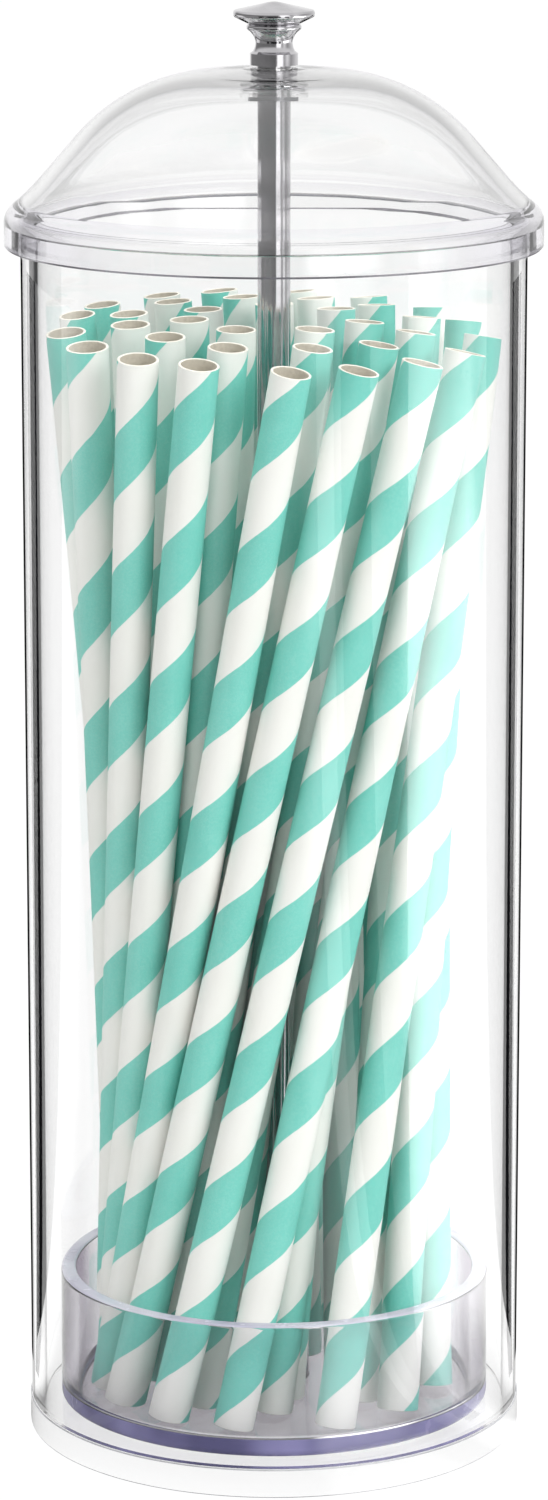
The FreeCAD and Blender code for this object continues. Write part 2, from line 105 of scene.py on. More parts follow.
# How far each straw whose stripes show is turned about itself, in turns, as fitted to the photograph.
STRAW_TURNS = {
    1: 0.59, 2: 0.28, 3: 0.33, 4: 0.55, 5: 0.46, 6: 0.27, 7: 0.13, 8: 0.54, 10: 0.13,
    12: 0.25, 14: 0.34, 15: 0.11, 16: 0.85, 17: 0.62, 18: 0.50, 19: 0.30, 20: 0.50, 21: 0.66,
    22: 0.54, 23: 0.72, 24: 0.03, 27: 0.90, 28: 0.05, 29: 0.75, 30: 0.61, 31: 0.55, 32: 0.55,
    33: 0.94, 34: 0.00, 35: 0.77, 36: 0.91,
}

# How clear plastic bends light, what it lets straight through, and the duller parts of polished metal.
PLASTIC_IOR = 1.49
LET_THROUGH = (0.98, 0.98, 0.98, 1)
DULLED_SHARE = 0.82

# How finely shapes are drawn, where an edge is sharp, and what counts as the same place.
AROUND = 256
AROUND_STRAW = 40
ARC_STEP = math.radians(3.0)
SHARP_ANGLE = math.radians(28.0)
TOLERANCE = 0.001 * MM
PLACE_DECIMALS = 7

# The studio in reflections, near the jar and beyond: (degrees from the viewer's side towards +X, grey).
NEAR_ROOM = (
    (-180, 0.5), (-104, 0.5), (-96, 0.15), (-60, 0.17), (12, 0.11), (18, 0.8), (45, 0.8), (52, 0.3),
    (63, 0.3), (68, 0.7), (79, 0.7), (86, 0.3), (96, 0.3), (106, 0.5), (180, 0.5),
)
FAR_ROOM = (
    (-180, 0.5), (-150, 0.5), (-134, 0.13), (12, 0.1), (18, 1.0),
    (40, 1.0), (48, 0.22), (66, 0.5), (88, 0.2), (128, 0.4), (180, 0.5),
)
REFLECTED_SCALE = 2.0
OVERHEAD_RISE = (0.15, 0.5)
OVERHEAD_GREY = 0.9
STUDIO_LEVEL = 0.72

# The dark cards, low at the diagonals, and a grey band above them: colour, angles, reach and rise.
CARD_COLOUR = (0.005, 0.005, 0.006, 1)
CARD_ANGLE = math.radians(25.0)
CARD_REACH = 1.78
CARD_GAP = 15 * MM
CARD_BACK_SHARE = 0.25
CARD_RISE = 0.05
RAISED_CARD = (0.06, 0.30)
RAISED_CARD_DARKNESS = 0.42

# Where a reflection off the tube's outside sees dark: between two slopes, and nearly along its side.
GLANCING = (math.radians(28.0), math.radians(42.0))
NEARLY_ALONG = math.radians(17.0)

# The bright panel at the right, on the floor: degrees, metres and strength.
PANEL_AT = 82.0
PANEL_HALF = 22.0
PANEL_BLUR = 4.0
PANEL_NEAR = (0.08, 0.15)
PANEL_FAR = (0.9, 1.4)
PANEL_GLOW = 3.0

# The floor: its own grey, and the white it shows to the camera and through the plastic.
FLOOR_COLOUR = (0.8, 0.8, 0.8, 1)
FLOOR_WHITE = 1.06
FLOOR_WHITE_SHARE = 0.9
FLOOR_DROP = 0.05 * MM
FLOOR_HALF_SIDE = 4.0

# The camera, from a fit to the photograph's upright lines and ellipses.
IMAGE_LONG_SIDE = 1500
SENSOR = 36.0
FOCAL_PIXELS = 5202.0
CAMERA_PLACE = (0.0, -0.921, 0.331)
CAMERA_DOWN = math.radians(12.52)


# Nodes

def add(tree, kind, inputs=None, **settings):
    """A shader node with its settings. Each input is a value or the socket that feeds it."""
    made = tree.nodes.new(kind)
    for name, setting in settings.items():
        setattr(made, name, setting)
    for name, given in (inputs or {}).items():
        if isinstance(given, bpy.types.NodeSocket):
            tree.links.new(given, made.inputs[name])
        else:
            made.inputs[name].default_value = given
    return made


def calc(tree, operation, first, second=0.0, third=0.0):
    """The result of a Math node."""
    return add(tree, "ShaderNodeMath", {0: first, 1: second, 2: third}, operation=operation).outputs[0]


def spread(tree, given, source, target, smooth=False):
    """One range of numbers (low, high) turned into another, clamped to it."""
    kind = "SMOOTHSTEP" if smooth else "LINEAR"
    ranges = {0: given, 1: source[0], 2: source[1], 3: target[0], 4: target[1]}
    return add(tree, "ShaderNodeMapRange", ranges, interpolation_type=kind).outputs[0]


def at_least(tree, count, least):
    """1 where a ray's count is this whole number or more, 0 elsewhere."""
    return calc(tree, "GREATER_THAN", count, least - 0.5)


def below(tree, count, limit):
    """1 where a ray's count is under this whole number, 0 elsewhere."""
    return calc(tree, "LESS_THAN", count, limit - 0.5)


def all_of(tree, *shares):
    """The product of some shares: 1 only where each is 1."""
    result = shares[0]
    for share in shares[1:]:
        result = calc(tree, "MULTIPLY", result, share)
    return result


def blend_colours(tree, share, first, second):
    """A mix of two colours."""
    mix = add(tree, "ShaderNodeMix", {0: share, 6: first, 7: second}, data_type="RGBA")
    return mix.outputs[2]


def noise(tree, scale, detail=3.0, stretch=(1, 1, 1)):
    """Noise fixed to the piece: scale is in features per metre, and stretch multiplies it by axis."""
    place = add(tree, "ShaderNodeTexCoord").outputs["Object"]
    if stretch != (1, 1, 1):
        place = add(tree, "ShaderNodeMapping", {"Vector": place, "Scale": stretch}).outputs[0]
    inputs = {"Vector": place, "Scale": scale, "Detail": detail}
    return add(tree, "ShaderNodeTexNoise", inputs).outputs["Fac"]


def new_material(name):
    """A material with an empty node tree, and its output node."""
    material = bpy.data.materials.new(name)
    material.use_nodes = True
    tree = material.node_tree
    tree.nodes.clear()
    return material, tree, add(tree, "ShaderNodeOutputMaterial")


# Materials

def clear_plastic(name, tint, wave, haze, grazing_shade, depth=None, resting=False):
    """Clear plastic with a faint waviness (scale, stretch, strength) and faint smudges.

    Seen edge-on it turns to painted shade: a darker colour given as (from, to, colour) over Layer Weight's
    Facing, in place of the dark edges that light draws in clear plastic, with the plastic's own tint in it
    for the lid and cup.
    Depth is (colour, density) of a tint that grows with thickness. A resting face lets light from inside
    straight through to what it stands on.
    """
    material, tree, output = new_material(name)
    wave_scale, stretch, strength = wave
    waviness = noise(tree, wave_scale, 2.0, stretch)
    bump = add(tree, "ShaderNodeBump", {"Strength": strength, "Distance": 0.1 * MM, "Height": waviness})
    smudge = noise(tree, 45.0, 4.0)
    rough = spread(tree, smudge, (0.45, 0.75), (0.0, haze))
    # Painted shade: the colour turns darker towards the silhouette, for the dark edges light draws in
    # clear plastic.
    facing = add(tree, "ShaderNodeLayerWeight", {"Blend": 0.5}).outputs["Facing"]
    first, last, painted_shade_colour = grazing_shade
    edge = spread(tree, facing, (first, last), (0.0, 1.0), smooth=True)
    plastic = add(tree, "ShaderNodeBsdfPrincipled", {
        "Base Color": blend_colours(tree, edge, tint, painted_shade_colour),
        "Roughness": rough,
        "IOR": PLASTIC_IOR,
        "Transmission Weight": 1.0,
        "Normal": bump.outputs[0],
    })
    path = add(tree, "ShaderNodeLightPath")
    lets_light = calc(tree, "MAXIMUM", path.outputs["Is Shadow Ray"], path.outputs["Is Diffuse Ray"])
    if resting:
        inside = add(tree, "ShaderNodeNewGeometry").outputs["Backfacing"]
        lets_light = calc(tree, "MAXIMUM", lets_light, inside)
    straight = add(tree, "ShaderNodeBsdfTransparent", {"Color": LET_THROUGH})
    mix = add(tree, "ShaderNodeMixShader", {0: lets_light, 1: plastic.outputs[0], 2: straight.outputs[0]})
    tree.links.new(mix.outputs[0], output.inputs["Surface"])
    if depth:
        colour, density = depth
        absorbed = add(tree, "ShaderNodeVolumeAbsorption", {"Color": colour, "Density": density})
        tree.links.new(absorbed.outputs[0], output.inputs["Volume"])
    return material


def opaque_edge_shade(name, deep, pale):
    """Painted shade on the edge of a slab of plastic: an opaque colour, tinted where the plastic is, for
    the look that the long way of the light inside it gives.
    """
    material, tree, output = new_material(name)
    cloud = spread(tree, noise(tree, 60.0, 2.0), (0.35, 0.7), (0.0, 1.0), smooth=True)
    colour = blend_colours(tree, cloud, deep, pale)
    plastic = add(tree, "ShaderNodeBsdfPrincipled", {
        "Base Color": colour,
        "Roughness": spread(tree, noise(tree, 300.0), (0.3, 0.7), (0.12, 0.3)),
        "IOR": PLASTIC_IOR,
    })
    tree.links.new(plastic.outputs[0], output.inputs["Surface"])
    return material


def metal(name, colour, roughness, scale, stretch):
    """Polished metal with fine turning lines and uneven polish."""
    material, tree, output = new_material(name)
    lines = noise(tree, scale, 2.0, stretch)
    polish = noise(tree, 220.0, 3.0)
    bump = add(tree, "ShaderNodeBump", {"Strength": 0.08, "Distance": 0.02 * MM, "Height": lines})
    dulled = [channel * DULLED_SHARE for channel in colour]
    worn = blend_colours(tree, spread(tree, polish, (0.35, 0.7), (0.0, 1.0)), colour, dulled)
    steel = add(tree, "ShaderNodeBsdfPrincipled", {
        "Base Color": worn,
        "Metallic": 1.0,
        "Roughness": spread(tree, polish, (0.3, 0.75), roughness),
        "Normal": bump.outputs[0],
    })
    tree.links.new(steel.outputs[0], output.inputs["Surface"])
    return material


def striped_paper():
    """Spiral-wound paper: teal and white stripes on a helix that the UV map unrolls."""
    material, tree, output = new_material("straw_stripes")
    helix = add(tree, "ShaderNodeUVMap", uv_map="helix").outputs[0]
    unrolled = add(tree, "ShaderNodeSeparateXYZ", {0: helix})
    fibre = noise(tree, 2600.0, 3.0)
    cloud = noise(tree, 130.0, 2.0)
    wobble = calc(tree, "MULTIPLY", calc(tree, "SUBTRACT", noise(tree, 420.0, 2.0), 0.5), STRIPE_WOBBLE)
    turn = calc(tree, "SUBTRACT", unrolled.outputs[1], unrolled.outputs[0])
    place = calc(tree, "FRACT", calc(tree, "ADD", turn, wobble))
    rising = spread(tree, place, (0.0, STRIPE_SOFTNESS), (0.0, 1.0), smooth=True)
    falling = spread(tree, place, (TEAL_SHARE, TEAL_SHARE + STRIPE_SOFTNESS), (1.0, 0.0), smooth=True)
    is_teal = calc(tree, "MULTIPLY", rising, falling)
    teal = blend_colours(tree, cloud, (0.15, 0.575, 0.485, 1), (0.195, 0.655, 0.56, 1))
    white = blend_colours(tree, cloud, (0.84, 0.845, 0.79, 1), (0.89, 0.895, 0.86, 1))
    ink = blend_colours(tree, is_teal, white, teal)
    flecks = spread(tree, fibre, (0.42, 0.62), (0.0, 0.06))
    ink = blend_colours(tree, flecks, ink, (0.90, 0.91, 0.87, 1))
    ply = calc(tree, "FRACT", calc(tree, "ADD", turn, PLY_OFFSET))
    ridge = spread(tree, ply, (0.0, PLY_RIDGE), (1.0, 0.0), smooth=True)
    height = calc(tree, "ADD", calc(tree, "MULTIPLY", ridge, 0.6), calc(tree, "MULTIPLY", fibre, 0.35))
    bump = add(tree, "ShaderNodeBump", {"Strength": 0.35, "Distance": 0.05 * MM, "Height": height})
    paper = add(tree, "ShaderNodeBsdfPrincipled", {
        "Base Color": ink,
        "Roughness": spread(tree, fibre, (0.3, 0.7), (0.48, 0.66)),
        "Normal": bump.outputs[0],
    })
    tree.links.new(paper.outputs[0], output.inputs["Surface"])
    return material


def plain_paper(name, dark, light):
    """The uncoated paper of a straw's bore and cut ends."""
    material, tree, output = new_material(name)
    fibre = noise(tree, 1900.0, 4.0)
    colour = blend_colours(tree, spread(tree, fibre, (0.3, 0.7), (0.0, 1.0)), dark, light)
    bump = add(tree, "ShaderNodeBump", {"Strength": 0.4, "Distance": 0.05 * MM, "Height": fibre})
    paper = add(tree, "ShaderNodeBsdfPrincipled", {
        "Base Color": colour,
        "Roughness": spread(tree, fibre, (0.3, 0.7), (0.7, 0.9)),
        "Normal": bump.outputs[0],
    })
    tree.links.new(paper.outputs[0], output.inputs["Surface"])
    return material


# Meshes

def arc(start, end, radius):
    """Points from start up to, but not at, the end of an arc. A positive radius turns left."""
    start, end = Vector(start), Vector(end)
    chord = end - start
    left = Vector((-chord.y, chord.x)).normalized()
    depth = math.sqrt(radius**2 - (chord.length / 2) ** 2)
    centre = (start + end) / 2 + left * math.copysign(depth, radius)
    first = start - centre
    last = end - centre
    turn = math.atan2(first.x * last.y - first.y * last.x, first.dot(last))
    count = max(2, math.ceil(abs(turn) / ARC_STEP))
    return [centre + Matrix.Rotation(turn * step / count, 2) @ first for step in range(count)]


def filleted(corners):
    """A closed outline of corners (radius, height, rounding), with each corner rounded."""
    points = []
    for index, (x, z, rounding) in enumerate(corners):
        corner = Vector((x, z))
        if not rounding:
            points.append(corner)
            continue
        before = (Vector(corners[index - 1][:2]) - corner).normalized()
        after = (Vector(corners[(index + 1) % len(corners)][:2]) - corner).normalized()
        half = before.angle(after) / 2
        start = corner + before * rounding / math.tan(half)
        end = corner + after * rounding / math.tan(half)
        left = before.x * after.y - before.y * after.x < 0
        points += arc(start, end, rounding if left else -rounding) + [end]
    return points


def finish_mesh(name, shape, materials, body, nodes):
    """A smooth-shaded piece from a bmesh, riding on its body in place of CAD nodes."""
    mesh = bpy.data.meshes.new(name)
    shape.to_mesh(mesh)
    shape.free()
    for material in materials:
        mesh.materials.append(material)
    mesh.shade_smooth()
    mesh.set_sharp_from_angle(angle=SHARP_ANGLE)
    piece = bpy.data.objects.new(name, mesh)
    bpy.context.scene.collection.objects.link(piece)
    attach(piece, body)
    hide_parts(*nodes)
    return piece


def turned(name, outline, material, body, nodes):
    """A piece turned about Z from a closed outline of (radius, height)."""
    shape = bmesh.new()
    rings = []
    for x, z in outline:
        if x < TOLERANCE:
            rings.append([shape.verts.new((0, 0, z))])
        else:
            angles = [2 * math.pi * step / AROUND for step in range(AROUND)]
            rings.append([shape.verts.new((x * math.cos(a), x * math.sin(a), z)) for a in angles])
    for lower, upper in zip(rings, rings[1:] + rings[:1]):
        if len(lower) == 1 and len(upper) == 1:
            continue
        for step in range(AROUND):
            after = (step + 1) % AROUND
            corners = [
                lower[step % len(lower)], lower[after % len(lower)],
                upper[after % len(upper)], upper[step % len(upper)],
            ]
            shape.faces.new(list(dict.fromkeys(corners)))
    bmesh.ops.recalc_face_normals(shape, faces=shape.faces)
    return finish_mesh(name, shape, [material], body, nodes)


def mark_faces(piece, material, chosen):
    """Another material on the faces whose middle, as (radius, height), is chosen."""
    piece.data.materials.append(material)
    last = len(piece.data.materials) - 1
    for face in piece.data.polygons:
        if chosen(face.center.xy.length, face.center.z):
            face.material_index = last


def jar_base(material, resting, painted_shade_look):
    """The disc under the tube, with a resting underside and softly rounded edges that carry painted shade.
    """
    low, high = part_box("jar_base")
    edge = SOFT_EDGE
    top = high.z - CEMENT_LINE
    outline = filleted([
        (0.0, low.z, 0.0),
        (high.x, low.z, edge),
        (high.x, top, edge),
        (0.0, top, 0.0),
    ])
    disc = turned("jar_base_disc", outline, material, "jar", ["jar_base"])
    mark_faces(disc, resting, lambda radius, z: z < low.z + TOLERANCE)
    # Painted shade: opaque grey on the rounded top and bottom edges, for the dark lines of light guided in
    # the disc.
    mark_faces(disc, painted_shade_look, lambda radius, z: radius > high.x - edge and z > top - edge)
    mark_faces(disc, painted_shade_look, lambda radius, z: radius > high.x - edge and low.z < z < low.z + edge)


def jar_tube(material, painted_shade_look):
    """The clear tube, with a rounded inner lip at its mouth that carries a painted dark line of shade."""
    low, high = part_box("jar_tube")
    bore = high.x - JAR_WALL
    outline = filleted([
        (bore, low.z, 0.0),
        (high.x, low.z, SOFT_EDGE),
        (high.x, high.z, SOFT_EDGE),
        (bore, high.z, TUBE_LIP),
    ])
    tube = turned("jar_clear_tube", outline, material, "jar", ["jar_tube"])
    # Painted shade: an opaque dark line on the rounded inner lip.
    mark_faces(
        tube, painted_shade_look,
        lambda radius, z: bore < radius < bore + TUBE_LIP and high.z - TUBE_LIP < z < high.z - TOLERANCE,
    )


def lid_dome(material, rim_look, painted_shade_look):
    """The domed lid: crown, shoulder, straight flank and flare, all tangent, with rim, skirt and boss, and
    painted shade on the skirt's lower edge.
    """
    low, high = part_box("lid_dome")
    rim = high.x
    skirt = rim - SKIRT_WALL
    flare_end = Vector((rim - RIM_ROUND * (1 - math.sin(FLARE)), RIM_BAND + RIM_ROUND * math.cos(FLARE)))
    flank_end = flare_end + FLARE_RADIUS * Vector(
        (math.sin(FLARE) - math.sin(FLANK), math.cos(FLARE) - math.cos(FLANK)))
    flank_normal = Vector((math.sin(FLANK), math.cos(FLANK)))
    flare_centre = flank_end + FLARE_RADIUS * flank_normal
    inner_flank_end = flank_end - LID_WALL * flank_normal
    inner_flare = FLARE_RADIUS + LID_WALL
    shoulder = flank_end + FLANK_RUN * Vector((-1, math.tan(FLANK)))
    shoulder_centre = shoulder.x - SHOULDER_RADIUS * math.sin(FLANK)
    crown = math.asin(shoulder_centre / (CROWN_RADIUS - SHOULDER_RADIUS))
    crown_height = shoulder.y + SHOULDER_RADIUS * (math.cos(crown) - math.cos(FLANK))
    crown_end = Vector((CROWN_RADIUS * math.sin(crown), crown_height))
    centre = crown_end.y - CROWN_RADIUS * math.cos(crown)
    inner_crown = CROWN_RADIUS - LID_WALL
    inner_shoulder = shoulder - LID_WALL * flank_normal
    inner_crown_end = Vector((inner_crown * math.sin(crown), centre + inner_crown * math.cos(crown)))
    ledge = skirt - LEDGE_WIDTH
    ledge_height = flare_centre.y - math.sqrt(inner_flare**2 - (flare_centre.x - ledge) ** 2)
    ledge_top = Vector((ledge, ledge_height))
    boss_bottom = centre + CROWN_RADIUS - BOSS_HEIGHT
    bore_top = Vector((ROD_BORE, centre + math.sqrt(CROWN_RADIUS**2 - ROD_BORE**2)))
    boss_root = Vector((BOSS_RADIUS, centre + math.sqrt(inner_crown**2 - BOSS_RADIUS**2)))
    rim_top = Vector((rim, RIM_BAND))
    outline = arc(bore_top, crown_end, -CROWN_RADIUS)
    outline += arc(crown_end, shoulder, -SHOULDER_RADIUS)
    outline += [shoulder]
    outline += arc(flank_end, flare_end, FLARE_RADIUS)
    outline += arc(flare_end, rim_top, -RIM_ROUND)
    outline += [
        rim_top,
        Vector((rim, SKIRT_EDGE - SKIRT_DEPTH)),
        Vector((rim - SKIRT_EDGE, -SKIRT_DEPTH)),
        Vector((skirt, -SKIRT_DEPTH)),
        Vector((skirt, 0.0)),
        Vector((skirt - LEDGE_FLAT, 0.0)),
    ]
    outline += arc(ledge_top, inner_flank_end, -inner_flare)
    outline += [inner_flank_end]
    outline += arc(inner_shoulder, inner_crown_end, SHOULDER_RADIUS - LID_WALL)
    outline += arc(inner_crown_end, boss_root, inner_crown)
    outline += [boss_root, Vector((BOSS_RADIUS, boss_bottom)), Vector((ROD_BORE, boss_bottom))]
    seat = low.z + SKIRT_DEPTH
    lifted = [point + Vector((0.0, seat)) for point in outline]
    dome = turned("lid_clear_dome", lifted, material, "lid", ["lid_dome"])
    mark_faces(dome, rim_look, lambda radius, z: radius > ledge and z < seat + RIM_BAND + RIM_ROUND)
    # Painted shade: an opaque dark line on the skirt's lower edge.
    mark_faces(
        dome, painted_shade_look,
        lambda radius, z: radius > rim - SKIRT_EDGE and low.z < z < low.z + SKIRT_EDGE,
    )


def straw_cup(material, ring, rim):
    """The cup with its hub and screw recess, and painted shade and tint as a dark ring round its foot and
    a pale top edge.
    """
    low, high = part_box("straw_cup")
    outer = high.x
    inner = outer - CUP_WALL
    floor = low.z + CUP_FLOOR
    hub_top = floor + CUP_HUB_HEIGHT
    socket = low.z + CUP_RECESS_DEPTH + CUP_CLAMP
    outline = filleted([
        (SCREW_HOLE, low.z + CUP_RECESS_DEPTH, 0.0),
        (CUP_RECESS_RADIUS, low.z + CUP_RECESS_DEPTH, SOFT_EDGE),
        (CUP_RECESS_RADIUS, low.z, SOFT_EDGE),
        (outer, low.z, CUP_FOOT_ROUND),
        (outer, floor + CUP_RING_RISE, 0.0),
        (outer, high.z, CUP_LIP_ROUND),
        (inner, high.z, CUP_LIP_ROUND),
        (inner, floor, CUP_CORNER_ROUND),
        (CUP_HUB_RADIUS, floor, SOFT_EDGE),
        (CUP_HUB_RADIUS, hub_top, SOFT_EDGE),
        (ROD_BORE, hub_top, SOFT_EDGE),
        (ROD_BORE, socket, 0.0),
        (SCREW_HOLE, socket, 0.0),
    ])
    cup = turned("straw_clear_cup", outline, material, "insert", ["straw_cup"])
    # Painted shade and tint: an opaque dark indigo ring round the foot, and a pale opaque lavender top
    # edge.
    mark_faces(cup, ring, lambda radius, z: radius > outer - CUP_RING_DEPTH and z < floor + CUP_RING_RISE)
    mark_faces(cup, rim, lambda radius, z: radius > inner and z > high.z - CUP_RIM_DEPTH)


def straw_axis(node):
    """The middles of a straw's two ends, from the CAD node's own corners."""
    places = {tuple(round(c, PLACE_DECIMALS) for c in v.co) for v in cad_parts[node].data.vertices}
    corners = [Vector(place) for place in places]
    middle = sum(c.z for c in corners) / len(corners)
    ends = []
    for wanted in ([c for c in corners if c.z < middle], [c for c in corners if c.z >= middle]):
        ends.append(sum(wanted, Vector()) / len(wanted))
    return ends


def paper_straw(node, phase, stripes, bore, cut_end):
    """A paper tube along a CAD straw's axis, with the helix unrolled in its UV map."""
    foot, tip = straw_axis(node)
    along = tip - foot
    length = along.length
    turn = Vector((0, 0, 1)).rotation_difference(along).to_matrix()
    inner = STRAW_RADIUS - STRAW_WALL
    section = [
        (STRAW_RADIUS, STRAW_LIP, OUTSIDE),
        (STRAW_RADIUS, length - STRAW_LIP, CUT_END),
        (STRAW_RADIUS - STRAW_LIP, length, CUT_END),
        (inner + STRAW_LIP, length, CUT_END),
        (inner, length - STRAW_LIP, INSIDE),
        (inner, STRAW_LIP, CUT_END),
        (inner + STRAW_LIP, 0.0, CUT_END),
        (STRAW_RADIUS - STRAW_LIP, 0.0, CUT_END),
    ]
    shape = bmesh.new()
    helix = shape.loops.layers.uv.new("helix")
    rings = []
    for x, z, _ in section:
        ring = []
        for step in range(AROUND_STRAW):
            angle = 2 * math.pi * step / AROUND_STRAW
            place = Vector((x * math.cos(angle), x * math.sin(angle), z))
            ring.append(shape.verts.new(foot + turn @ place))
        rings.append(ring)
    for index, (_, z, paper) in enumerate(section):
        following = (index + 1) % len(section)
        far = section[following][1]
        for step in range(AROUND_STRAW):
            after = (step + 1) % AROUND_STRAW
            face = shape.faces.new([
                rings[index][step], rings[index][after],
                rings[following][after], rings[following][step],
            ])
            face.material_index = paper
            places = ((step, z), (step + 1, z), (step + 1, far), (step, far))
            for loop, (reached, height) in zip(face.loops, places):
                loop[helix].uv = (reached / AROUND_STRAW, height / STRIPE_PITCH + phase)
    bmesh.ops.recalc_face_normals(shape, faces=shape.faces)
    number = node.split("_")[1]
    finish_mesh(f"paper_straw_{number}", shape, [stripes, bore, cut_end], "insert", [node])


# Stage

def through_one_wall(tree, path, in_card):
    """1 in the dark cards for a ray that was guided through one wall of clear plastic, 0 elsewhere."""
    crossed = path.outputs["Transmission Depth"]
    guided = at_least(tree, path.outputs["Glossy Depth"], 1)
    return all_of(tree, at_least(tree, crossed, 2), below(tree, crossed, 3), guided, in_card)


def off_the_outside(tree, path, past_tube, away):
    """1 where a ray that glanced off an outer surface sees dark, 0 elsewhere."""
    mirrored = all_of(tree, below(tree, path.outputs["Transmission Depth"], 1),
                      at_least(tree, path.outputs["Glossy Depth"], 1))
    slope = calc(tree, "DIVIDE", past_tube, calc(tree, "MAXIMUM", away, MM))
    least, most = GLANCING
    wide = all_of(tree, calc(tree, "GREATER_THAN", slope, math.tan(least)),
                  calc(tree, "LESS_THAN", slope, math.tan(most)))
    narrow = calc(tree, "LESS_THAN", slope, math.tan(NEARLY_ALONG))
    return all_of(tree, mirrored, calc(tree, "MAXIMUM", wide, narrow))


def shows_white(tree, path):
    """1 for a ray that sees the studio: from the camera, off gloss or through plastic."""
    sees = calc(tree, "MAXIMUM", path.outputs["Is Camera Ray"], path.outputs["Is Glossy Ray"])
    return calc(tree, "MAXIMUM", sees, path.outputs["Is Transmission Ray"])


def from_front(tree, across, away):
    """The angle of a place or direction about Z, from the viewer's side towards +X."""
    return calc(tree, "ARCTAN2", across, calc(tree, "MULTIPLY", away, -1.0))


def studio_in_reflections(tree, angle, room):
    """The studio's grey in a reflection, by direction: a dark room in front, a softbox at the right."""
    place = spread(tree, angle, (-math.pi, math.pi), (0.0, 1.0))
    ramp = add(tree, "ShaderNodeValToRGB", {"Fac": place})
    while len(ramp.color_ramp.elements) < len(room):
        ramp.color_ramp.elements.new(1.0)
    for element, (degrees, grey) in zip(ramp.color_ramp.elements, room):
        element.position = degrees / 360 + 0.5
        element.color = (grey, grey, grey, 1)
    return calc(tree, "MULTIPLY", ramp.outputs["Color"], REFLECTED_SCALE)


def studio_world(level):
    """A white studio, with dark cards low at the diagonals that draw the edges of clear plastic."""
    world = bpy.data.worlds.new("studio")
    world.use_nodes = True
    tree = world.node_tree
    tree.nodes.clear()
    output = add(tree, "ShaderNodeOutputWorld")
    path = add(tree, "ShaderNodeLightPath")
    toward = add(tree, "ShaderNodeSeparateXYZ", {0: add(tree, "ShaderNodeTexCoord").outputs["Generated"]})
    rise = toward.outputs[2]
    angle = calc(tree, "ARCTAN2", toward.outputs[1], toward.outputs[0])
    quarter = calc(tree, "WRAP", angle, math.pi / 2, 0.0)
    from_diagonal = calc(tree, "ABSOLUTE", calc(tree, "SUBTRACT", quarter, math.pi / 4))
    in_card = calc(tree, "LESS_THAN", from_diagonal, math.pi / 4 - CARD_ANGLE)
    level_ray = calc(tree, "LESS_THAN", calc(tree, "ABSOLUTE", rise), CARD_RISE)
    raised = spread(tree, rise, RAISED_CARD, (0.0, RAISED_CARD_DARKNESS), smooth=True)
    card = calc(tree, "MAXIMUM", all_of(tree, in_card, level_ray), raised)
    room = studio_in_reflections(tree, from_front(tree, toward.outputs[0], toward.outputs[1]), FAR_ROOM)
    overhead = spread(tree, rise, OVERHEAD_RISE, (0.0, 1.0), smooth=True)
    room = calc(tree, "ADD", all_of(tree, room, calc(tree, "SUBTRACT", 1.0, overhead)),
                all_of(tree, overhead, OVERHEAD_GREY))
    shown = blend_colours(tree, at_least(tree, path.outputs["Glossy Depth"], 1), WHITE, room)
    shown = blend_colours(tree, through_one_wall(tree, path, card), shown, CARD_COLOUR)
    seen = add(tree, "ShaderNodeBackground", {"Color": shown, "Strength": 1.0})
    lit = add(tree, "ShaderNodeBackground", {"Color": WHITE, "Strength": level})
    sees = shows_white(tree, path)
    mix = add(tree, "ShaderNodeMixShader", {0: sees, 1: lit.outputs[0], 2: seen.outputs[0]})
    tree.links.new(mix.outputs[0], output.inputs["Surface"])
    bpy.context.scene.world = world


def floor_card(tree, across, away, distance, tube_radius):
    """1 inside the card's ring round the tube, and 1 inside the diagonal cards in it."""
    slope = math.tan(CARD_ANGLE)
    back_share = CARD_BACK_SHARE * tube_radius
    beside = calc(tree, "GREATER_THAN", calc(tree, "SUBTRACT", across, tube_radius),
                  calc(tree, "MULTIPLY", away, slope))
    behind = calc(tree, "GREATER_THAN", calc(tree, "SUBTRACT", away, back_share),
                  calc(tree, "MULTIPLY", across, slope))
    ring = all_of(tree, calc(tree, "GREATER_THAN", distance, tube_radius + CARD_GAP),
                  calc(tree, "LESS_THAN", distance, CARD_REACH))
    return ring, all_of(tree, beside, behind, ring)


def bright_panel(tree, path, angle, distance):
    """The glow of the panel at the right, for rays that crossed no more than the front wall."""
    off_panel = calc(tree, "ABSOLUTE", calc(tree, "SUBTRACT", angle, math.radians(PANEL_AT)))
    edge = (math.radians(PANEL_HALF - PANEL_BLUR), math.radians(PANEL_HALF + PANEL_BLUR))
    on_panel = spread(tree, off_panel, edge, (1.0, 0.0), smooth=True)
    reach = all_of(tree, spread(tree, distance, PANEL_FAR, (1.0, 0.0), smooth=True),
                   spread(tree, distance, PANEL_NEAR, (0.0, 1.0), smooth=True))
    front_wall = below(tree, path.outputs["Transmission Depth"], 3)
    return all_of(tree, on_panel, front_wall, reach, PANEL_GLOW)


